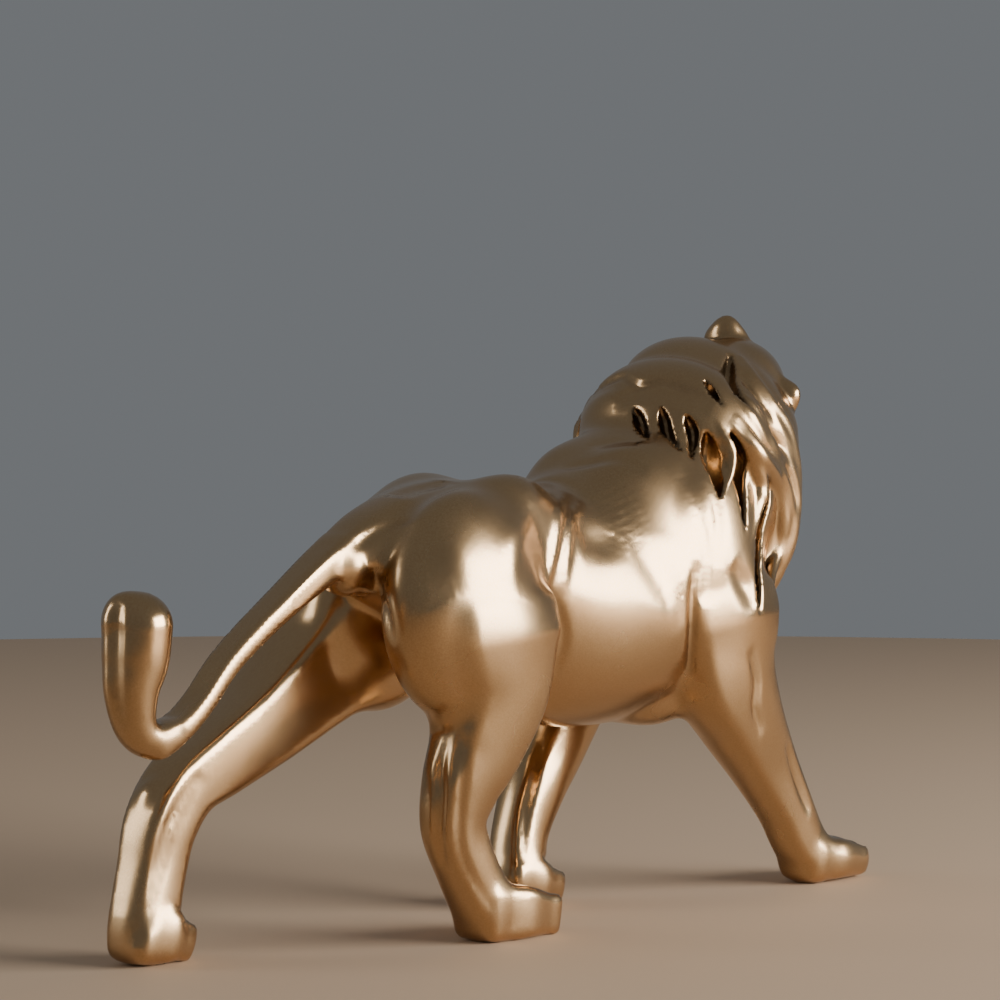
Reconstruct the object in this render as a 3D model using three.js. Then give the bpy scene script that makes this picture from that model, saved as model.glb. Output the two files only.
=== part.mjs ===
// A walking lion, cast in one piece, head turned to its left and rolled towards its right shoulder.
// Millimetres, +Z up, +X towards the head, +Y to the lion's left; it stands on four flat soles at Z = 0.
// The form is a set of swelling masses, ovals and swept limbs, that flow into one another over a
// stated radius, as clay is pressed on in modelling. Its skin is meshed once, evenly.
import * as THREE from "three";

// Driving dimensions
const CENTRE = new THREE.Vector3(-10.7, -0.3, 0); // middle of the whole length and width
const BACK = 138; // height of the back over the loins
const BELLY = 60; // height of the underside of the ribs
const HIP_X = -50; // middle of the haunches
const SHOULDER_X = 66; // middle of the shoulder blades
const HIP_Y = 20; // half the distance between the haunches
const SHOULDER_Y = 24; // half the distance between the shoulders
const TRACK_Y = 24; // how far the near legs stand from the middle plane
const HEAD = new THREE.Vector3(111, 1, 160.5); // middle of the skull
const HEAD_ROLL = 38; // degrees, right ear down
const HEAD_TURN = 20; // degrees, face to the left
const SOLE = 0; // height of the floor, which the paws are ground flat on
const SOLE_EDGE = 1.6; // skin lower than this is drawn down to the floor, so the sole ends crisply
const MESH_STEP = 5.2; // spacing of the skin's vertices

const RIGHT = -1;
const LEFT = 1;
const SIDEWAYS = new THREE.Vector3(0, 1, 0);
const RESIN_BRONZE = new THREE.MeshStandardMaterial({ color: 0x9a7350, roughness: 0.3, metalness: 0.9 });

const rad = THREE.MathUtils.degToRad;
const { lerp, clamp } = THREE.MathUtils;

// Distance, near enough, from the skin of an oval with half sizes a, b, c: negative inside.
function ovalDistance(x, y, z, a, b, c) {
  const near = Math.hypot(x / a, y / b, z / c);
  const slope = Math.hypot(x / a ** 2, y / b ** 2, z / c ** 2);
  return (near * (near - 1)) / Math.max(slope, 1e-9);
}

// The same for a block whose corners are rounded to half its thinner side.
function blockDistance(x, y, z, a, b, c) {
  const corner = 0.5 * Math.min(a, b);
  const q = [Math.abs(x) - a + corner, Math.abs(y) - b + corner];
  if (c < Infinity) q.push(Math.abs(z) - c + corner);
  return Math.hypot(...q.map((d) => Math.max(d, 0))) + Math.min(Math.max(...q), 0) - corner;
}

// A mass is { distance(p), box }: how far a point is from its skin, and the box that holds it.
function ball(centre, sizes, tilt = [0, 0, 0]) {
  const middle = new THREE.Vector3(...centre);
  const back = new THREE.Matrix4()
    .makeRotationFromEuler(new THREE.Euler(...tilt.map(rad), "ZYX"))
    .invert();
  const q = new THREE.Vector3();
  const reach = Math.max(...sizes);
  return {
    distance(p) {
      q.copy(p).sub(middle).applyMatrix4(back);
      return ovalDistance(q.x, q.y, q.z, ...sizes);
    },
    box: new THREE.Box3().setFromCenterAndSize(middle, new THREE.Vector3().setScalar(2 * reach)),
  };
}

// A limb through stations [x, y, z, half width sideways, half height]. Square 0 makes the section
// oval, 1 makes it a soft-cornered block.
function limb(stations, square = 0, steps = 5) {
  const rows = stations.map((s) => (s.length === 4 ? [...s, s[3]] : s));
  const path = new THREE.CatmullRomCurve3(rows.map(([x, y, z]) => new THREE.Vector3(x, y, z)));
  const sizes = new THREE.CatmullRomCurve3(rows.map(([, , , a, b]) => new THREE.Vector3(a, b, 0)));
  for (const curve of [path, sizes]) {
    curve.curveType = "catmullrom";
    curve.tension = 0.5;
  }
  const count = (rows.length - 1) * steps;
  const rings = Array.from({ length: count + 1 }, (_, i) => {
    const size = sizes.getPoint(i / count);
    return { at: path.getPoint(i / count), wide: size.x, tall: size.y };
  });
  rings.forEach((ring, i) => {
    const after = rings[Math.min(i + 1, count)].at;
    const before = rings[Math.max(i - 1, 0)].at;
    ring.along = after.clone().sub(before).normalize();
    ring.side = SIDEWAYS.clone().addScaledVector(ring.along, -ring.along.dot(SIDEWAYS)).normalize();
    ring.up = ring.along.clone().cross(ring.side);
  });
  const shape = (x, y, z, a, b, c) =>
    (1 - square) * ovalDistance(x, y, z, a, b, c) + square * blockDistance(x, y, z, a, b, c);
  const q = new THREE.Vector3();
  const at = new THREE.Vector3();
  const side = new THREE.Vector3();
  const up = new THREE.Vector3();
  const box = new THREE.Box3();
  for (const ring of rings) {
    const reach = 2 * Math.max(ring.wide, ring.tall);
    box.union(new THREE.Box3().setFromCenterAndSize(ring.at, q.setScalar(reach).clone()));
  }
  function beyond(p, ring) {
    q.copy(p).sub(ring.at);
    const cap = Math.min(ring.wide, ring.tall);
    return shape(q.dot(ring.side), q.dot(ring.up), q.dot(ring.along), ring.wide, ring.tall, cap);
  }
  return {
    distance(p) {
      const ahead = rings.map((ring) => q.copy(p).sub(ring.at).dot(ring.along));
      let nearest = Infinity;
      if (ahead[0] < 0) nearest = beyond(p, rings[0]);
      if (ahead[count] > 0) nearest = Math.min(nearest, beyond(p, rings[count]));
      for (let i = 0; i < count; i++) {
        if (ahead[i] < 0 || ahead[i + 1] > 0) continue;
        const h = ahead[i] / Math.max(ahead[i] - ahead[i + 1], 1e-9);
        q.copy(p).sub(at.lerpVectors(rings[i].at, rings[i + 1].at, h));
        side.lerpVectors(rings[i].side, rings[i + 1].side, h);
        up.lerpVectors(rings[i].up, rings[i + 1].up, h);
        const wide = lerp(rings[i].wide, rings[i + 1].wide, h);
        const tall = lerp(rings[i].tall, rings[i + 1].tall, h);
        nearest = Math.min(nearest, shape(q.dot(side), q.dot(up), 0, wide, tall, Infinity));
      }
      return nearest;
    },
    box,
  };
}

// Masses pressed together: each joins those before it over its own flow radius.
function flowTogether(masses) {
  const reached = masses.map(({ mass, flow }) => mass.box.clone().expandByScalar(2 * flow + 2));
  const box = new THREE.Box3();
  masses.forEach(({ mass }) => box.union(mass.box));
  return {
    distance(p) {
      let skin = 1e3;
      masses.forEach(({ mass, flow }, i) => {
        if (!reached[i].containsPoint(p)) return;
        const next = mass.distance(p);
        const h = clamp(0.5 + (0.5 * (next - skin)) / flow, 0, 1);
        skin = lerp(next, skin, h) - flow * h * (1 - h);
      });
      return skin;
    },
    box,
  };
}

// A form built about its own origin, then turned and carried to its place.
function placed(form, turn, centre) {
  const toPlace = new THREE.Matrix4().makeRotationFromEuler(turn).setPosition(centre);
  const back = toPlace.clone().invert();
  const q = new THREE.Vector3();
  return {
    distance: (p) => form.distance(q.copy(p).applyMatrix4(back)),
    box: form.box.clone().applyMatrix4(toPlace),
  };
}

const masses = [];
const press = (mass, flow) => masses.push({ mass, flow });

function trunk() {
  const rows = [
    [-80, 0, 114, 9],
    [-66, 0, 117, 17, 15],
    [-44, 0, 115, 25, 24],
    [-16, 0, 107, 29, 32],
    [14, 0, (BACK + BELLY) / 2, 33, (BACK - BELLY) / 2],
    [46, 0, 102, 36, 43],
    [76, 0, 106, 32, 42],
    [98, 0, 112, 20, 28],
  ];
  press(limb(rows), 6);
  for (const side of [RIGHT, LEFT]) {
    press(ball([-28, side * 17, BACK - 14], [22, 11, 16], [0, -10, 0]), 9); // hip bone
    press(ball([52, side * 14, BACK - 6], [24, 13, 17], [0, 10, 0]), 10); // withers
  }
}

function tail() {
  const strap = [
    [-62, 0, 124, 8],
    [-82, 0, 117.5, 7],
    [-104, 0, 105, 6.2, 5.8],
    [-128, 0, 89.5, 5.8, 5.4],
    [-141, 0, 77, 5.8, 5.4],
    [-149, 0, 70.5, 5.8, 5.4],
    [-156, 0, 68, 6],
  ];
  const tuft = [
    [-152, 0, 69.5, 5.8, 5.4],
    [-158, 0, 67.5, 6, 5.6],
    [-163.5, 0, 70.5, 6.2, 5.8],
    [-167, 0, 78, 6.8, 6.2],
    [-166.5, 0, 87.5, 9.2, 8.2],
    [-165, 0, 96.5, 10.4, 9],
    [-165, 0, 103.5, 8.6, 7.6],
    [-166, 0, 108, 4.6, 4.2],
  ];
  press(limb(strap, 0.35), 4);
  press(limb(tuft), 3);
}

function hindLegs() {
  const standing = [
    [HIP_X + 8, -TRACK_Y, 92, 16, 26],
    [-40, -TRACK_Y, 76, 14, 20],
    [-47, -23, 60, 11.5, 14.5],
    [-53, -22, 48, 9.6, 11.6],
    [-55, -21, 36, 8.3, 9.4],
    [-49, -21, 23, 8, 8.8],
    [-42, -21, 12, 8.4, 9],
  ];
  const pushing = [
    [HIP_X, TRACK_Y - 1, 94, 15, 22],
    [-68, 26, 80, 13, 16.5],
    [-87, 27, 67.5, 11, 13],
    [-107, 27, 57.5, 9.5, 11],
    [-124, 27, 49.5, 9, 9.6],
    [-134, 27, 37, 8, 9],
    [-134, 27, 22, 7.6, 9],
    [-134, 27, 10, 8.2, 9],
  ];
  press(ball([HIP_X + 1, -HIP_Y, 101], [31, 18, 35]), 5);
  press(limb(standing, 0.4), 5);
  press(ball([HIP_X + 6, HIP_Y - 1, 99], [29, 17, 32], [0, 24, 0]), 5);
  press(limb(pushing, 0.5), 4);
  press(ball([-31, -21, 7], [16, 11, 9.5]), 5);
  press(ball([-131, 27, 7], [13, 11, 9.5]), 5);
}

function foreLegs() {
  const reaching = [
    [SHOULDER_X + 4, -TRACK_Y - 2, 92, 14, 24],
    [73, -TRACK_Y - 2, 76, 13, 20],
    [84, -25, 60, 11.6, 15],
    [98.5, -TRACK_Y, 43, 9.4, 11.4],
    [110.5, -TRACK_Y, 28, 8.2, 9.2],
    [118, -TRACK_Y, 17, 8, 8.6],
    [124, -TRACK_Y, 10, 8.6, 8],
  ];
  const trailing = [
    [SHOULDER_X - 8, TRACK_Y, 92, 14, 24],
    [54, TRACK_Y - 1, 72, 12, 17],
    [42, 20, 52, 10, 11.5],
    [30, 18, 38, 9, 10],
    [22, 17, 24, 8, 8.6],
    [19, 16, 12, 8.4, 9],
  ];
  press(ball([SHOULDER_X, -SHOULDER_Y, 104], [25, 16, 36], [0, -18, 0]), 4);
  press(ball([SHOULDER_X - 2, SHOULDER_Y, 104], [25, 16, 36]), 4);
  press(limb(reaching, 0.35), 4);
  press(limb(trailing, 0.35), 4);
  press(ball([135, -TRACK_Y, 7.2], [17.4, 11, 8.6]), 5);
  press(ball([56, -9, 66], [15, 11, 8.5]), 5); // breast between the legs
  press(ball([26, 16, 7], [14, 11, 9]), 5);
}

function mane() {
  const neck = [
    [60, 0, 118, 34],
    [82, 0, 132, 34, 36],
    [98, 0, 150, 29, 31],
  ];
  const bib = [
    [106, -8, 150, 26, 20],
    [108, -10, 128, 22, 13],
    [103, -11, 106, 17, 10],
    [92, -11, 88, 8, 6],
  ];
  press(limb(neck), 8);
  press(ball([80, -0.5, 148], [25.5, 34.5, 30], [0, -25, 0]), 3); // collar
  press(ball([96, 0, 159.5], [25, 30, 23.5], [25, -18, 0]), 3); // cap
  press(limb(bib), 5);
}

function head() {
  const muzzle = [
    [6, 0, -2, 15],
    [22, 0, -4, 13],
    [36, 0, -7, 10],
  ];
  const nose = [
    [12, 0, 12, 9, 7],
    [28, 0, 9, 7.5, 6],
    [38, 0, 4, 6.5, 5],
  ];
  const parts = [
    { mass: ball([0, 0, 4], [24, 21, 20]), flow: 3 },
    { mass: limb(muzzle), flow: 5 },
    { mass: limb(nose), flow: 4 },
  ];
  for (const side of [RIGHT, LEFT]) {
    parts.push({ mass: ball([32, side * 6.5, -7], [9, 7.5, 8]), flow: 3 }); // whisker pad
    parts.push({ mass: ball([18, side * 11, 9], [9, 7, 6]), flow: 4 }); // brow
    parts.push({ mass: ball([8, side * 15.5, -6], [13, 8, 12]), flow: 5 }); // cheek
    parts.push({ mass: ball([1, side * 14.5, 17], [4.4, 7.5, 8.5], [-25 * side, 0, 0]), flow: 3 }); // ear
  }
  parts.push({ mass: ball([31, 0, -16], [8, 8, 6]), flow: 4 }); // chin
  const turn = new THREE.Euler(rad(HEAD_ROLL), rad(2), rad(HEAD_TURN), "ZYX");
  press(placed(flowTogether(parts), turn, HEAD), 3);
}

// The skin of a form as an even mesh: one vertex in each grid cell that the skin passes through,
// moved onto the skin, and two triangles across each grid edge that it crosses.
function skinOf(form, step) {
  const low = form.box.min.clone().subScalar(1.5 * step);
  const size = form.box.max.clone().sub(low).divideScalar(step).ceil().addScalar(2);
  const index = (i, j, k) => (i * size.y + j) * size.z + k;
  const corner = new THREE.Vector3();
  const values = new Float64Array(size.x * size.y * size.z);
  for (let i = 0; i < size.x; i++)
    for (let j = 0; j < size.y; j++)
      for (let k = 0; k < size.z; k++)
        values[index(i, j, k)] = form.distance(corner.set(i, j, k).multiplyScalar(step).add(low));

  const axes = [[1, 0, 0], [0, 1, 0], [0, 0, 1]];
  fillPinches(values, size, index);
  const crossing = (i, j, k, [a, b, c]) => {
    const here = values[index(i, j, k)];
    const there = values[index(i + a, j + b, k + c)];
    return here < 0 === there < 0 ? null : here / (here - there);
  };
  const vertexOf = new Map();
  const points = [];
  for (let i = 0; i < size.x - 1; i++)
    for (let j = 0; j < size.y - 1; j++)
      for (let k = 0; k < size.z - 1; k++) {
        const sum = new THREE.Vector3();
        let count = 0;
        axes.forEach((axis, n) => {
          const [u, v] = axes.filter((_, m) => m !== n);
          for (const [s, t] of [[0, 0], [0, 1], [1, 0], [1, 1]]) {
            const at = [0, 1, 2].map((m) => [i, j, k][m] + s * u[m] + t * v[m]);
            const cut = crossing(...at, axis);
            if (cut === null) continue;
            sum.add(new THREE.Vector3(...at).addScaledVector(new THREE.Vector3(...axis), cut));
            count++;
          }
        });
        if (!count) continue;
        vertexOf.set(index(i, j, k), points.length);
        points.push(sum.divideScalar(count).multiplyScalar(step).add(low));
      }

  points.forEach((p) => settle(form, p, 0.5 * step));
  const triangles = [];
  for (let i = 1; i < size.x - 1; i++)
    for (let j = 1; j < size.y - 1; j++)
      for (let k = 1; k < size.z - 1; k++)
        axes.forEach((axis, n) => {
          if (crossing(i, j, k, axis) === null) return;
          const u = axes[(n + 1) % 3];
          const v = axes[(n + 2) % 3];
          const ring = [[0, 0], [1, 0], [1, 1], [0, 1]].map(([s, t]) =>
            vertexOf.get(index(...[0, 1, 2].map((m) => [i, j, k][m] - s * u[m] - t * v[m]))),
          );
          if (values[index(i, j, k)] >= 0) ring.reverse();
          const [a, b, c, d] = ring;
          const span = (m, o) => points[m].distanceTo(points[o]);
          if (span(a, c) < span(b, d)) triangles.push(a, b, c, a, c, d);
          else triangles.push(a, b, d, b, c, d);
        });
  return { points, triangles };
}

// Where only two opposite corners of a grid square are inside, the skin would pinch to an edge that
// four triangles share. The shallower of the outside corners is filled, until no such square is left.
function fillPinches(values, size, index) {
  const barelyInside = -0.01;
  const inside = (corner) => values[corner] < 0;
  let found = true;
  while (found) {
    found = false;
    for (let i = 0; i < size.x - 1; i++)
      for (let j = 0; j < size.y - 1; j++)
        for (let k = 0; k < size.z - 1; k++) {
          const a = index(i, j, k);
          const [x, y, z] = [index(i + 1, j, k), index(i, j + 1, k), index(i, j, k + 1)];
          for (const [b, d] of [[x, y], [y, z], [z, x]]) {
            const c = b + d - a;
            if (inside(a) !== inside(c) || inside(b) !== inside(d) || inside(a) === inside(b)) continue;
            const outside = inside(a) ? [b, d] : [a, c];
            outside.sort((m, n) => values[m] - values[n]);
            values[outside[0]] = barelyInside;
            found = true;
          }
        }
  }
}

// Moves a point along the form's slope until it lies on the skin, never further than most.
function settle(form, point, most) {
  const reach = 0.4;
  const start = point.clone();
  const slope = new THREE.Vector3();
  const probe = new THREE.Vector3();
  for (let round = 0; round < 4; round++) {
    for (const axis of ["x", "y", "z"]) {
      probe.copy(point)[axis] += reach;
      const ahead = form.distance(probe);
      probe.copy(point)[axis] -= reach;
      slope[axis] = (ahead - form.distance(probe)) / (2 * reach);
    }
    const steep = Math.max(slope.lengthSq(), 0.05);
    point.addScaledVector(slope, -form.distance(point) / steep);
    point.sub(start).clampLength(0, most).add(start);
  }
}

// The form ground away below the floor.
const groundFlat = (form) => ({
  distance: (p) => Math.max(form.distance(p), SOLE - p.z),
  box: new THREE.Box3(form.box.min.clone().setZ(SOLE), form.box.max.clone()),
});

trunk();
tail();
hindLegs();
foreLegs();
mane();
head();

const { points, triangles } = skinOf(groundFlat(flowTogether(masses)), MESH_STEP);
for (const point of points) if (point.z < SOLE + SOLE_EDGE) point.z = SOLE;
const geometry = new THREE.BufferGeometry().setFromPoints(points);
geometry.setIndex(triangles);
geometry.computeVertexNormals();

const lion = new THREE.Mesh(geometry, RESIN_BRONZE);
lion.name = "lion";
lion.position.copy(CENTRE).negate();

const sculpture = new THREE.Group();
sculpture.add(lion);

export default sculpture;
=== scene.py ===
import math
import bpy
import numpy as np
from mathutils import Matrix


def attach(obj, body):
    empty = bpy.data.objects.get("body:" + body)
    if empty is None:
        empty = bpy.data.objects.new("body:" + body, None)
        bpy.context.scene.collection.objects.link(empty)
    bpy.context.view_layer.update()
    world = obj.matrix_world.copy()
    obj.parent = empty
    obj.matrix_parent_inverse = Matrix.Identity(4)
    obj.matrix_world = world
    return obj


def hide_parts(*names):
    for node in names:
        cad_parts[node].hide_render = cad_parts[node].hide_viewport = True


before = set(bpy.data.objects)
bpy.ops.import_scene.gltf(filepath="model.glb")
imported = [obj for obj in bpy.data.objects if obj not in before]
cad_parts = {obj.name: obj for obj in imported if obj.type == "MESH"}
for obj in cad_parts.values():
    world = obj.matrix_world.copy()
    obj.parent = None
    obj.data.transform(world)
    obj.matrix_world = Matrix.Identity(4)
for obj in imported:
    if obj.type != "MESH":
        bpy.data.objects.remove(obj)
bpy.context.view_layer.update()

# ---------------------------------------------------------------------------
# The lion
# One hollow polyresin casting, slushed in a silicone mould, with no seam, base or joined part. Its masses,
# locks and creases are pressed, laid and cut here as in clay, in millimetres and as one field of depths,
# because no primitive edited by hand gives such unbroken skin. The field is then skinned as one mesh.

RIGHT, LEFT = -1, 1
SIDEWAYS = (0.0, 1.0, 0.0)
FAR_OFF = 1e9


def oval(x, y, z, a, b, c):
    """Distance, near enough, from the skin of an oval with half sizes a, b, c."""
    near = np.sqrt((x / a) ** 2 + (y / b) ** 2 + (z / c) ** 2)
    slope = np.sqrt((x / a ** 2) ** 2 + (y / b ** 2) ** 2 + (z / c ** 2) ** 2)
    return near * (near - 1) / np.maximum(slope, 1e-9)


def block(x, y, z, a, b, c):
    """The same for a block with its edges rounded."""
    rounding = 0.4
    corner = rounding * np.minimum(a, b)
    off = [np.abs(x) - a + corner, np.abs(y) - b + corner, np.abs(z) - c + corner]
    outside = np.sqrt(sum(np.maximum(q, 0) ** 2 for q in off))
    return outside + np.minimum(np.maximum(np.maximum(off[0], off[1]), off[2]), 0) - corner


def turning(roll, pitch, yaw):
    """Matrix of a turn about X, then Y, then Z, in degrees."""
    a, b, c = (math.radians(v) for v in (roll, pitch, yaw))
    about_x = np.array([[1, 0, 0], [0, math.cos(a), -math.sin(a)], [0, math.sin(a), math.cos(a)]])
    about_y = np.array([[math.cos(b), 0, math.sin(b)], [0, 1, 0], [-math.sin(b), 0, math.cos(b)]])
    about_z = np.array([[math.cos(c), -math.sin(c), 0], [math.sin(c), math.cos(c), 0], [0, 0, 1]])
    return about_z @ about_y @ about_x


def ball(centre, sizes, tilt=(0, 0, 0)):
    """A mass: a function giving how far points are from its skin, and its lowest and highest corner."""
    centre = np.array(centre, float)
    turn = turning(*tilt)
    reach = max(sizes)
    return lambda p: oval(*((p - centre) @ turn).T, *sizes), centre - reach, centre + reach


def curve_through(rows, steps):
    """A smooth curve through the rows."""
    rows = np.array(rows, float)
    ends = np.vstack([2 * rows[0] - rows[1], rows, 2 * rows[-1] - rows[-2]])
    out = []
    for a, b, c, d in zip(ends[:-3], ends[1:-2], ends[2:-1], ends[3:]):
        for t in np.arange(steps) / steps:
            out.append(0.5 * (2 * b + (c - a) * t + (2 * a - 5 * b + 4 * c - d) * t ** 2
                              + (3 * b - 3 * c + d - a) * t ** 3))
    return np.array(out + [rows[-1]])


def limb(stations, square=0.0, side=SIDEWAYS, steps=8):
    """A limb through rows of x, y, z, half width sideways and half height, or one half size for both.
    Square 0 makes its section oval, 1 a soft-cornered block."""
    thinnest = 0.25
    rows = curve_through([list(s) + [s[3]] if len(s) == 4 else list(s) for s in stations], steps)
    at = rows[:, :3]
    wide, tall = (np.maximum(rows[:, n], thinnest) for n in (3, 4))
    along = np.gradient(at, axis=0)
    along /= np.linalg.norm(along, axis=1)[:, None]
    side = np.broadcast_to(side, at.shape)
    side = side - (side * along).sum(1)[:, None] * along
    side = side / np.linalg.norm(side, axis=1)[:, None]
    up = np.cross(along, side)
    plane = (at * along).sum(1)
    last = len(at) - 1

    def shape(*sizes):
        if square == 0:
            return oval(*sizes)
        return (1 - square) * oval(*sizes) + square * block(*sizes)

    def depth(p):
        nearest = np.full(len(p), FAR_OFF)
        ahead = p @ along.T - plane
        for i in range(last):
            on = np.nonzero((ahead[:, i] >= 0) & (ahead[:, i + 1] <= 0))[0]
            if not len(on):
                continue
            h = ahead[on, i] / np.maximum(ahead[on, i] - ahead[on, i + 1], 1e-9)
            g = h[:, None]
            q = p[on] - (at[i] + g * (at[i + 1] - at[i]))
            x = (q * (side[i] + g * (side[i + 1] - side[i]))).sum(1)
            y = (q * (up[i] + g * (up[i + 1] - up[i]))).sum(1)
            a, b = (size[i] + h * (size[i + 1] - size[i]) for size in (wide, tall))
            nearest[on] = np.minimum(nearest[on], shape(x, y, 0 * x, a, b, np.minimum(a, b)))
        for i, way in ((0, -1), (last, 1)):
            on = np.nonzero(way * ahead[:, i] > 0)[0]
            if len(on):
                q = p[on] - at[i]
                cap = min(wide[i], tall[i])
                beyond = shape(q @ side[i], q @ up[i], q @ along[i], wide[i], tall[i], cap)
                nearest[on] = np.minimum(nearest[on], beyond)
        return nearest

    reach = np.maximum(wide, tall)[:, None]
    return depth, (at - reach).min(0), (at + reach).max(0)


class Clay:
    """A figure worked up stroke by stroke: each mass flows into what is there over its own radius.
    A depth is below 0 inside the figure and above 0 in the open."""

    open_air = 1e3
    groove_reach = 2.6
    fade_power = 0.8

    def __init__(self, turn=np.eye(3), place=(0, 0, 0)):
        self.strokes = []
        self.turn = turn
        self.place = np.array(place, float)

    def press(self, mass, flow):
        self.strokes.append(("press", mass, flow))

    def cut(self, mass, flow=1.0):
        self.strokes.append(("cut", mass, flow))

    def score(self, points, wide, deep):
        """A groove along a line on the skin, or a welt where deep is below 0, fading at both ends."""
        line = curve_through(self.lay(points), 8)
        length = np.arange(len(line)) / (len(line) - 1)

        def depth(p):
            apart = ((p[:, None] - line[None]) ** 2).sum(2)
            nearest = apart.argmin(1)
            fade = np.sin(np.pi * length[nearest]) ** self.fade_power
            return deep * fade * np.exp(-apart[np.arange(len(p)), nearest] / wide ** 2)

        self.strokes.append(("score", (depth, line.min(0), line.max(0)), wide))

    def depth(self, p):
        """How deep each point lies, worked out for each stroke only near it."""
        p = (p - self.place) @ self.turn
        skin = np.full(len(p), self.open_air)
        for kind, (mass, low, high), flow in self.strokes:
            pad = self.groove_reach * flow if kind == "score" else flow + 3
            near = np.nonzero(np.all((p > low - pad) & (p < high + pad), axis=1))[0]
            if not len(near):
                continue
            here, there = skin[near], mass(p[near])
            if kind == "score":
                skin[near] = here + there
            elif kind == "press":
                h = np.clip(0.5 + 0.5 * (there - here) / flow, 0, 1)
                skin[near] = there + (here - there) * h - flow * h * (1 - h)
            else:
                h = np.clip(0.5 + 0.5 * (there + here) / flow, 0, 1)
                skin[near] = -there + (here + there) * h + flow * h * (1 - h)
        return skin

    def slope(self, p, reach=0.3):
        """Which way, and how fast, the depth changes: outwards on the skin."""
        steps = reach * np.eye(3)
        return np.stack([self.depth(p + s) - self.depth(p - s) for s in steps], 1) / (2 * reach)

    def lay(self, points, most=12.0, rounds=8):
        """Points drawn onto the skin, each the shortest way and no further than most."""
        start = np.array(points, float) @ self.turn.T + self.place
        p = start.copy()
        for _ in range(rounds):
            slope = self.slope(p)
            steep = np.maximum((slope ** 2).sum(1), 0.1)
            p = p - (np.clip(self.depth(p), -3, 3) / steep)[:, None] * slope
            off = p - start
            far = np.linalg.norm(off, axis=1, keepdims=True)
            p = start + off * np.minimum(1, most / np.maximum(far, 1e-9))
        return (p - self.place) @ self.turn

    def box(self):
        """Lowest and highest corner of all that was pressed on."""
        low = np.min([mass[1] for kind, mass, _ in self.strokes if kind == "press"], 0)
        high = np.max([mass[2] for kind, mass, _ in self.strokes if kind == "press"], 0)
        corners = np.array([[x, y, z] for x in (low[0], high[0]) for y in (low[1], high[1])
                            for z in (low[2], high[2])]) @ self.turn.T + self.place
        return corners.min(0), corners.max(0)

    def leaf(self, points, wide, thick, sink=0.3):
        """A leaf-shaped mass lying along the skin: it swells from a thin root and runs to a point.
        Its widest place is nearer the root, and it is sunk in by a share of its thickness."""
        early = 0.75
        blunt = 0.75
        line = curve_through(self.lay(points), 4)
        t = np.linspace(0, 1, len(line))
        swell = np.sin(np.pi * np.clip(t, 0.02, 0.99) ** early) ** blunt
        out = self.slope(line @ self.turn.T + self.place) @ self.turn
        out /= np.linalg.norm(out, axis=1)[:, None]
        along = np.gradient(line, axis=0)
        side = np.cross(out, along)
        fine = np.column_stack([line - (sink * thick * swell + 0.5 * (1 - swell))[:, None] * out,
                                wide * swell, thick * swell])
        dense = curve_through(np.column_stack([fine, side]), 2)
        return limb(dense[:, :5], side=dense[:, 5:], steps=1)

    def lock(self, points, wide, thick, flow=1.4):
        self.press(self.leaf(points, wide, thick), flow)

    def hollow(self, points, wide, deep, flow=1.0):
        self.cut(self.leaf(points, wide, deep, sink=0.1), flow)


lion_clay = Clay()
HIP_X, SHOULDER_X = -50, 66
TRACK = 24


def paw(x, y, length, width, height, square=0.9):
    """A paw seen from above as a soft block with a flat top, and the clefts between its four toes."""
    back, front = x - length / 2, x + length / 2
    lion_clay.press(limb([(back + 0.4 * width, y, 0.5 * height, 0.42 * width, 0.5 * height),
                          (x, y, 0.48 * height, 0.5 * width, 0.48 * height),
                          (front - 0.4 * height, y, 0.39 * height, 0.46 * width, 0.39 * height)], square), 3)
    lion_clay.press(ball((front - 0.2 * length, y, 0.36 * height),
                         (0.24 * length, 0.3 * width, 0.37 * height)), 2)
    for cleft in (-0.25, 0, 0.25):
        across = y + cleft * width
        lion_clay.score([(x, across, height), (x + 0.25 * length, across, 0.8 * height),
                         (front - 1, across, 0.55 * height), (front, across, 0)], 1.1, 2.2)


# trunk, hip bones and withers
lion_clay.press(limb([(-80, 0, 114, 9), (-66, 0, 117, 17, 15), (-44, 0, 115, 25, 24), (-16, 0, 107, 29, 32),
                      (14, 0, 99, 33, 39), (46, 0, 102, 36, 43), (76, 0, 106, 32, 42),
                      (98, 0, 112, 20, 28)]), 6)
for side in (RIGHT, LEFT):
    lion_clay.press(ball((-28, side * 17, 124), (22, 11, 16), (0, -10, 0)), 9)
    lion_clay.press(ball((52, side * 14, 132), (24, 13, 17), (0, 10, 0)), 10)

# tail: a strap with a flat top, hooked up into a leaf-shaped tuft
lion_clay.press(limb([(-62, 0, 124, 8), (-82, 0, 118, 6.4, 5.6), (-104, 0, 106, 5.3, 3.8),
                      (-128, 0, 90.2, 4.9, 3.0), (-141, 0, 77.6, 4.8, 2.9), (-149, 0, 71.6, 5, 3.3),
                      (-157, 0, 68.4, 5.4, 4.4)], square=0.95), 3)
lion_clay.press(limb([(-154, 0, 69.5, 5, 4), (-160.5, 0, 68.4, 5.8, 5), (-165.6, 0, 73, 6.2, 6),
                      (-167, 0, 82, 7.8, 7.6), (-165.4, 0, 91, 9.6, 9.2),
                      (-164.6, 0, 100.5, 10.2, 9.6)]), 2.5)
lion_clay.press(ball((-168.5, 1, 103.5), (4.5, 6, 6)), 3)

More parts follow.
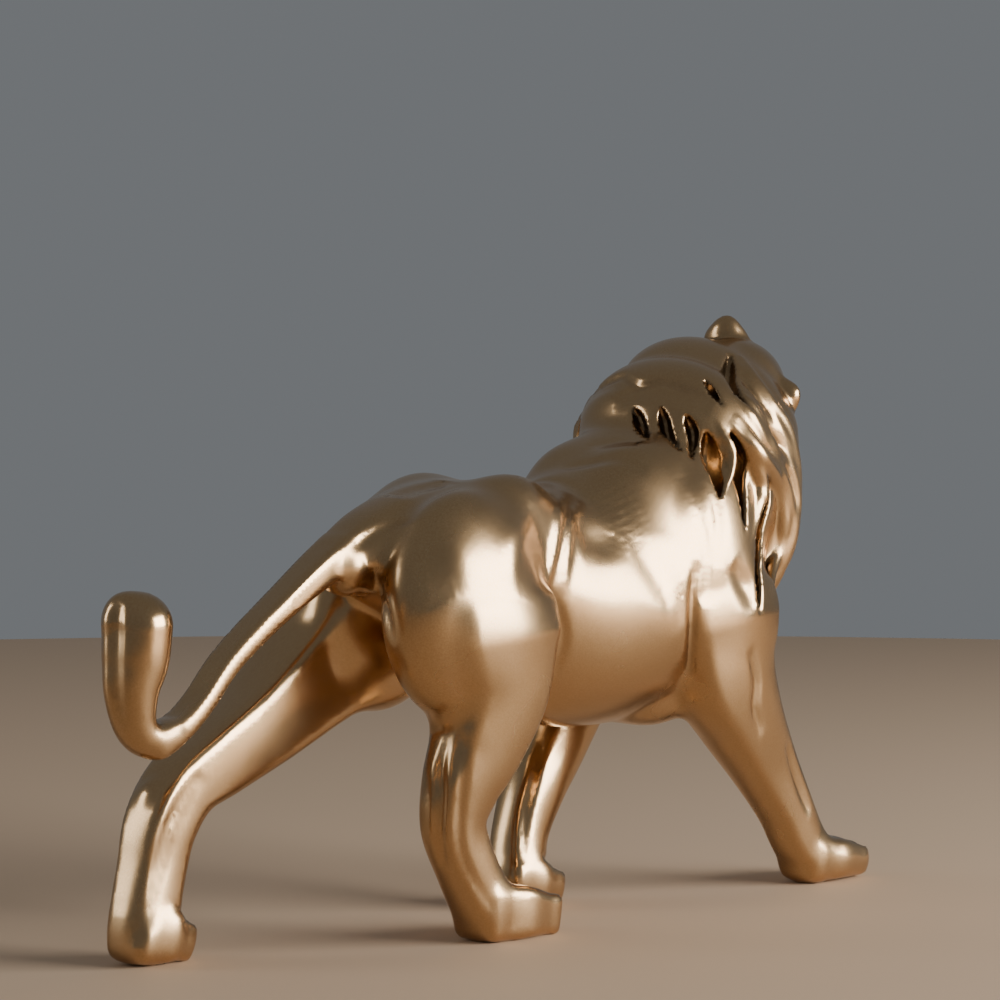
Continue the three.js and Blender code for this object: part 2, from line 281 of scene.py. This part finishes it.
# hind legs, right standing and left pushing off
lion_clay.press(ball((HIP_X + 1, -20, 101), (31, 18, 35)), 5)
lion_clay.press(limb([(HIP_X + 7, -TRACK, 92, 16, 24), (-42, -TRACK, 76, 14, 18.5),
                      (-47, -23, 60, 11.5, 14.5), (-53, -22, 48, 9.6, 11.6), (-55, -21, 36, 8.3, 9.4),
                      (-49, -21, 23, 8, 8.8), (-42, -21, 12, 8.4, 9)], square=0.5), 5)
lion_clay.press(ball((HIP_X + 6, 19, 99), (29, 17, 32), (0, 24, 0)), 5)
lion_clay.press(limb([(HIP_X, TRACK - 1, 94, 15, 22), (-68, 26, 80, 13, 16.5), (-87, 27, 67.5, 11, 13),
                      (-107, 27, 57.5, 9.5, 11), (-121, 27, 50.5, 9, 9.6), (-129.5, 27, 40, 8.4, 9.4),
                      (-133, 27, 28, 7.9, 8.8), (-135.5, 27, 17, 8, 8.8), (-136, 27, 10, 8.4, 9)],
                     square=0.85), 4)
lion_clay.press(ball((-131, 27, 47.5), (5.2, 5.2, 5.2)), 3)

# forelegs, right reaching and left trailing
lion_clay.press(ball((SHOULDER_X, -TRACK, 104), (25, 16, 36), (0, -18, 0)), 4)
lion_clay.press(ball((SHOULDER_X - 2, TRACK, 104), (25, 16, 36)), 4)
lion_clay.press(limb([(SHOULDER_X + 4, -26, 92, 14, 24), (73, -26, 76, 13, 20), (84, -25, 60, 11.6, 15),
                      (98.5, -TRACK, 43, 9.4, 11.4), (110.5, -TRACK, 28, 8.2, 9.2),
                      (118, -TRACK, 17, 8, 8.6), (124, -TRACK, 10, 8.6, 8)], square=0.5), 4)
lion_clay.press(limb([(SHOULDER_X - 8, TRACK, 92, 14, 24), (54, 23, 72, 12, 17), (42, 20, 52, 10, 11.5),
                      (30, 18, 38, 9, 10), (22, 17, 24, 8, 8.6), (19, 16, 12, 8.2, 8.6)], square=0.5), 4)
lion_clay.press(ball((56, -9, 66), (15, 11, 8.5)), 5)

paw(-30, -21, 33, 21, 17)
paw(-132.5, 27, 23.5, 18.5, 17, 0.6)
paw(134, -TRACK, 35, 21, 16, 0.45)
paw(23, 16, 26, 19, 16, 0.6)



def on_side(points, side, lift=0):
    """Points given for the right side, put on the right or the left one, and lifted."""
    return [(x, -side * y, z + lift) for x, y, z in points]


# creases, hollows and welts of the body, each a line, its width and its depth, the same on both flanks
for side in (RIGHT, LEFT):
    for line, wide, deep in (
            # fold of skin before the haunch: two welts, and the crease they run into
            ([(10, -12, 136), (-10, -25, 128), (-18, -29, 116), (-21, -30, 107)], 1.9, -1.7),
            ([(12, -17, 133), (-3, -26, 126), (-11, -29, 115), (-14, -29, 104)], 1.9, -1.5),
            ([(-20, -30, 106), (-15, -29, 99), (-11, -28, 88), (-12, -26, 74)], 2, 2.4),
            # swelling over the haunch and hollow behind it
            ([(-19, -22, 139), (-32, -29, 128), (-45, -35, 119), (-50, -37, 104)], 6.0, -1.5),
            ([(-72, -22, 132), (-73, -26, 118), (-69, -30, 104)], 7.0, 1.3),
            # crease behind the foreleg, hollow between ribs and shoulder, muscles of the shoulder
            ([(46, -36, 112), (44, -36, 100), (46, -34, 87), (51, -29, 74)], 1.5, 2.6),
            ([(20, -18, 136), (24, -30, 119), (31, -34, 107), (42, -35, 92)], 7.0, 1.7),
            ([(48, -28, 140), (49, -35, 125), (50, -37, 112), (49, -37, 97)], 2.4, 1.0),
            ([(57, -33, 140), (56, -37, 125), (53, -38, 110)], 2.4, 1.1),
            # dimples on the ribs and the upper foreleg
            ([(-2, -27, 121), (8, -28, 120), (18, -28, 122)], 6.0, 1.5),
            ([(60, -40, 111), (66, -40, 104), (72, -40, 97)], 4.2, 1.5)):
        lion_clay.score(on_side(line, side), wide, deep)

# the same on one side or the middle: right foreleg, spine, withers, and root of the tail
for line, wide, deep in (
        ([(70, -39, 83), (75, -37, 72), (76, -37, 63), (82, -36, 54)], 1.7, 2.0),
        ([(-62, -2, 136), (-48, -2, 139), (-38, -3, 140)], 5.0, 2.5),
        ([(25, 3, 142), (30, -5, 143), (33, -15, 144), (36, -24, 141)], 3.0, 1.2),
        ([(40, 4, 148), (44, -6, 149), (44, -16, 146)], 3.5, 1.6),
        ([(-67, -14, 128), (-75, -9, 124), (-84, -7, 120)], 1.6, 1.2),
        ([(-78, -9, 114), (-77, -9, 107), (-80, -15, 101), (-80, -18, 92)], 1.8, 2.2)):
    lion_clay.score(line, wide, deep)

# grooves beside the tendons of the legs, then one behind the tuft of the tail
for line, wide, deep in (
        ([(-64, -25, 66), (-62, -23, 55), (-63, -24, 45), (-63, -23, 33), (-58, -21, 23)], 1.6, 2.0),
        ([(-59, -28, 64), (-60, -29, 54), (-61, -28, 42), (-60, -28, 31), (-55, -27, 22), (-46, -30, 10)],
         1.6, 2.0),
        ([(30, 14, 54), (23, 12, 41), (17, 11, 28), (14, 10, 14)], 1.6, 2.0),
        ([(98, -33, 50), (107, -32, 36), (115, -32, 24)], 1.6, 2.0),
        ([(-122, 19, 56), (-132, 18, 42), (-137, 19, 30), (-142, 20, 16), (-144, 22, 6)], 3.2, 1.8),
        ([(-124, 19, 52), (-132, 18, 41), (-137, 18, 29), (-141, 19, 16)], 1.1, -1.2),
        ([(-71, 35, 60), (-95, 36, 50), (-115, 35, 44)], 3.0, 1.5),
        ([(-134, 35, 38), (-136, 35, 25), (-137, 35, 14)], 2.0, 1.6),
        ([(40, 29, 60), (30, 26, 42), (24, 25, 28)], 2.4, 1.6),
        ([(-173.5, -1, 111), (-174, -1, 98), (-173.5, -1, 86), (-170, -1, 72)], 2.4, 2.6)):
    lion_clay.score(line, wide, deep)

# neck, with the mane as a collar, a cap and a bib
lion_clay.press(limb([(60, 0, 118, 34), (82, 0, 132, 34, 36), (98, 0, 150, 29, 31)]), 8)
lion_clay.press(ball((80, -0.5, 148), (25.5, 34.5, 30), (0, -25, 0)), 3)
lion_clay.press(ball((96, 0, 159.5), (25, 30, 23.5), (25, -18, 0)), 2.5)
lion_clay.press(limb([(105, -8, 150, 21.5, 19), (108, -10, 128, 20, 12.5), (103, -11, 106, 17, 10),
                      (92, -11, 88, 8, 6)]), 5)

# head, rolled towards the right shoulder and turned to the left: skull, muzzle, bridge of the nose,
# whisker pads, brows, cheeks, eyes in their sockets, chin, nose tip, mouth and ears
head_clay = Clay(turning(42, 2, 20), (111, 1, 160.5))
head_clay.press(ball((-1, 1.5, 4), (23, 18.5, 20)), 3)
head_clay.press(limb([(6, 0, -2, 14.5), (22, 0, -4, 13), (36, 0, -6, 10.5)], square=0.3), 5)
head_clay.press(limb([(12, 0, 8.5, 8.5, 7), (28, 0, 6.5, 7.2, 6), (39, 0, 3, 6.4, 5)], square=0.5), 3)
for side in (RIGHT, LEFT):
    head_clay.press(ball((33, side * 6, -6.5), (9.5, 7.5, 8)), 2)
    head_clay.press(ball((17.5, side * 9.5, 7), (8, 6.5, 5.5)), 4)
    head_clay.press(ball((8, side * 13.5, -7), (13, 8, 12)), 5)
    head_clay.cut(ball((26.5, side * 11, 3.5), (5, 4, 2.8)), 2.5)
    head_clay.press(ball((23, side * 9.8, 3.6), (3.6, 3.4, 2.7)), 0.5)
head_clay.press(ball((32, 0, -15.5), (8, 7.5, 6)), 3)
head_clay.press(ball((42.8, 0, 0.8), (3.6, 5.6, 3.6)), 1.5)
head_clay.score([(46, 0, -2), (45, 0, -7), (42, 0, -12)], 1.2, 1.4)
for side in (RIGHT, LEFT):
    head_clay.cut(ball((46.2, side * 2.9, -0.2), (1.8, 1.5, 1.2)), 1)
    head_clay.score([(43, side * 0.5, -12), (39, side * 6, -13), (32, side * 10, -13.5),
                     (26, side * 11.5, -12)], 1.3, 2.0)
    head_clay.score([(29, side * 4, 8), (25, side * 10, 8.5), (19, side * 14, 5.5)], 1.6, -1.3)
    head_clay.score([(33, side * 5.5, 5), (28, side * 8.5, 0), (20, side * 13, -3)], 1.8, 1.2)
    ear = (1, 14.5, 16.5) if side == LEFT else (-1, -11.5, 14.5)
    head_clay.press(ball(ear, (4, 8.2, 7), (-25 * side, 0, 0)), 2)
    head_clay.press(ball((ear[0] - 1.5, ear[1] * 1.22, ear[2] + 3.6), (2.6, 3.6, 4.2),
                         (-25 * side, 0, 0)), 4)
    head_clay.cut(ball((ear[0] + 4.2, ear[1] * 1.08, ear[2] + 2), (3.2, 5, 5.6), (-25 * side, 0, 0)), 0.8)
lion_clay.press((head_clay.depth, *head_clay.box()), 2)

# mane on each side: hollows between the locks, locks over them, then a sheet of strands from the crown
# down the neck, of which the left side has only the first two, clear of the cheek, and the cap's rim
for side in (RIGHT, LEFT):
    lift = 4 if side == LEFT else 0
    crown = [(92, -17, 181)] if side == RIGHT else []
    for line, wide, deep, flow in (
            ([(62, -28, 152), (63, -30, 145), (62, -33, 138), (60, -34, 131)], 3.3, 6, 0.8),
            ([(69, -34, 152), (72, -34, 144), (72, -34, 136), (69, -38, 121)], 3.1, 7, 0.8),
            ([(86, -35, 141), (87, -33, 131), (82, -36, 121), (76, -38, 109), (74, -40, 95)], 3.4, 8, 0.8),
            (crown + [(84, -25, 175), (79, -31, 168), (80, -35, 160)], 2.6, 3.6, 1.0),
            ([(69, -23, 172), (68, -27, 168), (68, -31, 163)], 1.5, 3.5, 0.6)):
        lion_clay.hollow(on_side(line, side, lift), wide, deep, flow)
    for line, wide, thick in (
            ([(65, -31, 156), (69, -33, 147), (68, -33, 139), (59, -34, 130)], 2.0, 3.4),
            ([(70, -34, 156), (78, -36, 145), (85, -34, 134), (83, -35, 127), (72, -38, 116)], 3.4, 3.8),
            ([(72, -34, 158), (82, -37, 146), (98, -31, 135), (103, -30, 123), (100, -30, 110),
              (80, -38, 94)], 4.0, 3.8)):
        lion_clay.lock(on_side(line, side, lift), wide, thick, 0.8)
    low_edge = np.array([(76, -32, 166), (80, -35, 158), (90, -34, 147), (104, -31, 133), (108, -29, 116),
                         (103, -28, 98)])
    high_edge = np.array([(97, -18, 180), (95, -27, 173), (100, -33, 162), (107, -32, 151), (112, -29, 137),
                          (113, -27, 122)])
    for part in np.arange(5 if side == RIGHT else 2) / 4:
        lion_clay.lock(on_side(low_edge + part * (high_edge - low_edge), side, lift), 3.1, 2.5, 1.1)
    rim = on_side([(53, 6, 166), (55, -1, 168), (58, -9, 170), (59, -14, 170), (62, -22, 167),
                   (66, -28, 163)], side, lift)
    lion_clay.score([(x - 1, y, z - 2.5) for x, y, z in rim], 3.4, 1.6)
    lion_clay.score(rim, 1.2, 1.9)

# three notches in the collar, on the right only
for line in ([(54, -3, 161), (52, -8, 156), (48, -15, 151)],
             [(56, -13, 161), (55, -17, 154), (54, -24, 147)],
             [(60, -21, 158), (59, -25, 152), (56, -27, 144)]):
    lion_clay.hollow(line, 1.9, 3.2, 0.5)

# locks that ring the face, hang from the chin and run down the chest
RING_LOCKS = 14
for lock in range(RING_LOCKS):
    angle = math.radians(-200 + 220 * lock / (RING_LOCKS - 1))
    y, z = math.cos(angle), math.sin(angle)
    ring = [(12, 19 * y, 19 * z + 2), (4, 25 * y, 25 * z), (-8, 30 * y, 30 * z - 2)]
    thick = 2.2 if y < -0.5 else 4.0
    lion_clay.lock([tuple(head_clay.turn @ np.array(p) + head_clay.place) for p in ring], 4.2, thick, 1.2)
for y in (-25, -17, -9, -1, 7):
    lion_clay.lock([(118, 0.9 * y, 140), (121, y, 126), (114, 0.8 * y - 3, 110),
                    (101, 0.5 * y - 5, 93)], 4.0, 4.0)


def spacing(low, high, coarse, fine, fine_from):
    """Grid lines from low to high: coarse apart below fine_from, fine apart above it."""
    count = math.ceil((fine_from - low) / coarse)
    back = fine_from - coarse * np.arange(count, 0, -1)
    return np.concatenate([back, np.arange(fine_from, high + fine, fine)])


def skin(clay, lines, stride=4):
    """The clay's surface as points and four-sided faces, one point to each grid cell it passes through.
    Depths are worked out on every fourth grid line first, and on all lines only near the surface."""
    near_skin = 7
    at_once = 200000
    lines = [line[:len(line) - (len(line) - 1) % stride] for line in lines]
    shape = np.array([len(line) for line in lines])

    def places(cells):
        return np.column_stack([line[c] for line, c in zip(lines, cells.T)])

    corners = np.array([[n & 1, n >> 1 & 1, n >> 2 & 1] for n in range(8)])
    rough_shape = (shape - 1) // stride + 1
    rough_cells = np.argwhere(np.ones(rough_shape, bool))
    rough = clay.depth(places(rough_cells * stride)).reshape(rough_shape)
    low, high = np.full(rough_shape - 1, FAR_OFF), np.full(rough_shape - 1, -FAR_OFF)
    for c in corners:
        part = rough[tuple(slice(o, n - 1 + o) for o, n in zip(c, rough_shape))]
        low, high = np.minimum(low, part), np.maximum(high, part)
    live = np.argwhere((low < near_skin) & (high > -near_skin))
    depth = np.ones(shape)
    sign = np.where(rough < 0, -1.0, 1.0)[:-1, :-1, :-1]
    depth[:-1, :-1, :-1] = sign.repeat(stride, 0).repeat(stride, 1).repeat(stride, 2)
    wanted = np.zeros(shape, bool)
    for offset in np.argwhere(np.ones((stride + 1,) * 3, bool)):
        wanted[tuple((live * stride + offset).T)] = True
    cells = np.argwhere(wanted)
    for part in np.array_split(cells, 1 + len(cells) // at_once):
        depth[tuple(part.T)] = clay.depth(places(part))
    inside = depth < 0

    # one point to each cell with corners on both sides: the mean of the crossings on its edges
    filled = sum(inside[tuple(slice(o, n - 1 + o) for o, n in zip(c, shape))].astype(int) for c in corners)
    cells = np.argwhere((filled > 0) & (filled < len(corners)))
    number = np.full(shape - 1, -1)
    number[tuple(cells.T)] = np.arange(len(cells))
    total, count = np.zeros((len(cells), 3)), np.zeros(len(cells))
    size = places(cells + 1) - places(cells)
    for a in range(len(corners)):
        for b in (a | 1, a | 2, a | 4):
            if a == b:
                continue
            here, there = depth[tuple((cells + corners[a]).T)], depth[tuple((cells + corners[b]).T)]
            crossed = (here < 0) != (there < 0)
            t = np.where(crossed, here / np.where(crossed, here - there, 1), 0)[:, None]
            total += np.where(crossed[:, None], corners[a] + t * (corners[b] - corners[a]), 0)
            count += crossed
    points = places(cells) + size * total / count[:, None]

    # one face round each grid edge that the surface crosses, turned to point outwards
    faces = []
    for axis in range(3):
        u, v = np.eye(3, dtype=int)[[(axis + 1) % 3, (axis + 2) % 3]]
        ahead = [slice(None)] * 3
        behind = [slice(None)] * 3
        ahead[axis], behind[axis] = slice(1, None), slice(0, -1)
        edges = np.argwhere(inside[tuple(behind)] != inside[tuple(ahead)])
        ring = np.stack([number[tuple((edges - o).T)] for o in (0 * u, u, u + v, v)], 1)
        out = inside[tuple(edges.T)]
        ring[~out] = ring[~out][:, ::-1]
        faces.append(ring)
    return points, np.concatenate(faces)


# skinned on a grid that is fine from the shoulders and the belly line up, and coarser behind and below
COARSE, MIDDLE, FINE = 1.5, 1.3, 1.05
BEFORE, BEYOND = 3, 8
FINE_FROM_X, FINE_FROM_Z = 56, 100
low, high = lion_clay.box()
low[2] = 0
lines = [spacing(low[0] - BEFORE, high[0] + BEYOND, COARSE, FINE, FINE_FROM_X),
         spacing(low[1] - BEFORE, high[1] + BEYOND, MIDDLE, MIDDLE, 0),
         spacing(-3.3, high[2] + BEYOND, COARSE, FINE, FINE_FROM_Z)]

# cut level at the ground, and every point settled onto the clay
ground_clay = Clay()
ground_clay.press((lambda p: np.maximum(lion_clay.depth(p), -p[:, 2]), low, high), 0.01)
points, faces = skin(ground_clay, lines)
points = ground_clay.lay(points, most=1.0, rounds=3)

# how shut in each point is, from 0 in the open to 1 in a slit: how little air there is 1.8 and 4 mm off it.
# This is the mask for the painted shade in recesses
outward = ground_clay.slope(points)
outward /= np.maximum(np.linalg.norm(outward, axis=1), 0.1)[:, None]
shade_mask = np.max([1 - lion_clay.depth(points + reach * outward) / reach for reach in (1.8, 4)], 0)
shade_mask = np.clip(shade_mask, 0, 1)

# soles flattened, and the middle of the lion moved to the origin
SOLE = 0.35
MIDDLE_OF_LION = (-10.7, -0.3, 0)
MM = 0.001
points[points[:, 2] < SOLE, 2] = 0
points -= MIDDLE_OF_LION

lion_mesh = bpy.data.meshes.new("lion_casting")
lion_mesh.from_pydata((points * MM).tolist(), [], faces.tolist())
lion_mesh.shade_smooth()
# the shut-in mask, stored on the points, places the painted shade in recesses
lion_mesh.attributes.new("recess_shade", "FLOAT", "POINT").data.foreach_set("value", shade_mask.astype(np.float32))
lion = bpy.data.objects.new("lion_casting", lion_mesh)
bpy.context.scene.collection.objects.link(lion)


def linear(colour):
    """An sRGB hex colour as linear RGBA."""
    parts = [int(colour[n:n + 2], 16) / 255 for n in (1, 3, 5)]
    return [c / 12.92 if c <= 0.04045 else ((c + 0.055) / 1.055) ** 2.4 for c in parts] + [1.0]


def add_node(owner, kind, settings, links):
    """A node with its settings, and links given as (from node, its output, this node's input)."""
    node = owner.node_tree.nodes.new(kind)
    for name, value in settings.items():
        if name in node.inputs:
            node.inputs[name].default_value = value
        else:
            setattr(node, name, value)
    for source, output, target in links:
        owner.node_tree.links.new(source.outputs[output], node.inputs[target])
    return node


# Bronze-coloured metallic lacquer sprayed on sanded resin, satin to glossy, with painted shade that darkens
# the colour in recesses.
# The leafing pigment lies flat and mirrors broad soft lights, brown where nothing bright is mirrored, with a
# thin clear coat that keeps small highlights sharp. The painted shade sits in slits and grooves.
CLOUDS_PER_METRE = 28
FLAKES_PER_METRE = 1900
bronze = bpy.data.materials.new("sprayed_bronze_lacquer")
bronze.use_nodes = True
shader = bronze.node_tree.nodes["Principled BSDF"]
shader.inputs["Metallic"].default_value = 1.0
shader.inputs["Coat Weight"].default_value = 0.15
shader.inputs["Coat Roughness"].default_value = 0.08
place = add_node(bronze, "ShaderNodeTexCoord", {}, [])

# passes of the spray gun: satin clouds about 36 mm across, so 28 to the metre
clouds = add_node(bronze, "ShaderNodeTexNoise", {"Scale": CLOUDS_PER_METRE, "Detail": 3},
                  [(place, "Object", "Vector")])
dull = add_node(bronze, "ShaderNodeMapRange",
                {"From Min": 0.35, "From Max": 0.65, "To Min": 0.2, "To Max": 0.29},
                [(clouds, "Fac", "Value")])
bronze.node_tree.links.new(dull.outputs["Result"], shader.inputs["Roughness"])

# pigment flakes: real ones are about 0.03 mm, drawn here about 0.5 mm, 1900 to the metre, so that they show
flakes = add_node(bronze, "ShaderNodeTexNoise", {"Scale": FLAKES_PER_METRE, "Detail": 1},
                  [(place, "Object", "Vector")])
tint = add_node(bronze, "ShaderNodeMix", {"data_type": "RGBA"}, [(flakes, "Fac", "Factor")])
tint.inputs[6].default_value = linear("#b38e62")
tint.inputs[7].default_value = linear("#cbab82")

# painted shade: the base colour darkened where the skin is shut in
recess_shade = add_node(bronze, "ShaderNodeAttribute", {"attribute_name": "recess_shade"}, [])
shade_strength = add_node(bronze, "ShaderNodeMapRange", {"From Min": 0.22, "From Max": 0.95, "To Max": 0.75},
                    [(recess_shade, "Fac", "Value")])
painted_shade = add_node(bronze, "ShaderNodeMix", {"data_type": "RGBA"}, [(shade_strength, "Result", "Factor")])
# dark brown of the painted shade in slits and grooves
painted_shade.inputs[7].default_value = linear("#2b1d12")
bronze.node_tree.links.new(tint.outputs[2], painted_shade.inputs[6])
bronze.node_tree.links.new(painted_shade.outputs[2], shader.inputs["Base Color"])
lion_mesh.materials.append(bronze)

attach(lion, "root")
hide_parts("lion")

# ---------------------------------------------------------------------------
# Floor, light and camera
# A plain pale floor and soft studio light: a low wide softbox to the lion's right, a narrower one far
# to its left and behind it, and a dim grey room.

bpy.ops.object.select_all(action="DESELECT")
FLOOR_RADIUS = 1.3
bpy.ops.mesh.primitive_circle_add(vertices=96, radius=FLOOR_RADIUS, fill_type="NGON", location=(0, 0, 0))
floor = bpy.context.object
floor.name = "floor"

# board with a flat emulsion paint, rolled on: an even, dull beige
floor_paint = bpy.data.materials.new("pale_floor")
floor_paint.use_nodes = True
emulsion = floor_paint.node_tree.nodes["Principled BSDF"]
emulsion.inputs["Base Color"].default_value = linear("#bca185")
emulsion.inputs["Roughness"].default_value = 0.7
floor.data.materials.append(floor_paint)

# grey room, a little brighter overhead
world = bpy.data.worlds.new("dim_room")
world.use_nodes = True
sky = world.node_tree.nodes["Background"]
toward = add_node(world, "ShaderNodeTexCoord", {}, [])
height = add_node(world, "ShaderNodeSeparateXYZ", {}, [(toward, "Generated", "Vector")])
falloff = add_node(world, "ShaderNodeMapRange",
                   {"From Min": 0.1, "From Max": 0.9, "To Min": 1.0, "To Max": 1.15},
                   [(height, "Z", "Value")])
world.node_tree.links.new(falloff.outputs["Result"], sky.inputs["Strength"])
sky.inputs["Color"].default_value = linear("#6f7275")
bpy.context.scene.world = world


def softbox(name, place, width, height, watts):
    """A rectangular lamp, upright and turned to shine at the middle of the lion."""
    aim = (0, 0, 0.1)
    lamp = bpy.data.lights.new(name, "AREA")
    lamp.shape = "RECTANGLE"
    lamp.size = width
    lamp.size_y = height
    lamp.energy = watts
    box = bpy.data.objects.new(name, lamp)
    bpy.context.scene.collection.objects.link(box)
    box.location = place
    way = np.array(aim) - np.array(place)
    heading = math.atan2(way[1], way[0]) - math.pi / 2
    down = math.atan2(math.hypot(way[0], way[1]), -way[2])
    box.rotation_euler = (down, 0, heading)


softbox("softbox_right", (0.55, -1.1, 0.38), 1.0, 0.6, 33)
softbox("softbox_left", (-1.0, 1.1, 0.5), 0.5, 0.8, 5)

# a long lens a metre off, behind the lion's right haunch and level with its head
AZIMUTH = -50
DOWNWARD = math.atan(100 / 3400)
camera = bpy.data.objects.new("camera", bpy.data.cameras.new("camera"))
bpy.context.scene.collection.objects.link(camera)
camera.location = (-0.8093, -0.6807, 0.163)
camera.rotation_euler = (math.radians(90) - DOWNWARD, 0, math.radians(AZIMUTH))
camera.data.sensor_width = 36
camera.data.lens = 122.4
bpy.context.scene.camera = camera
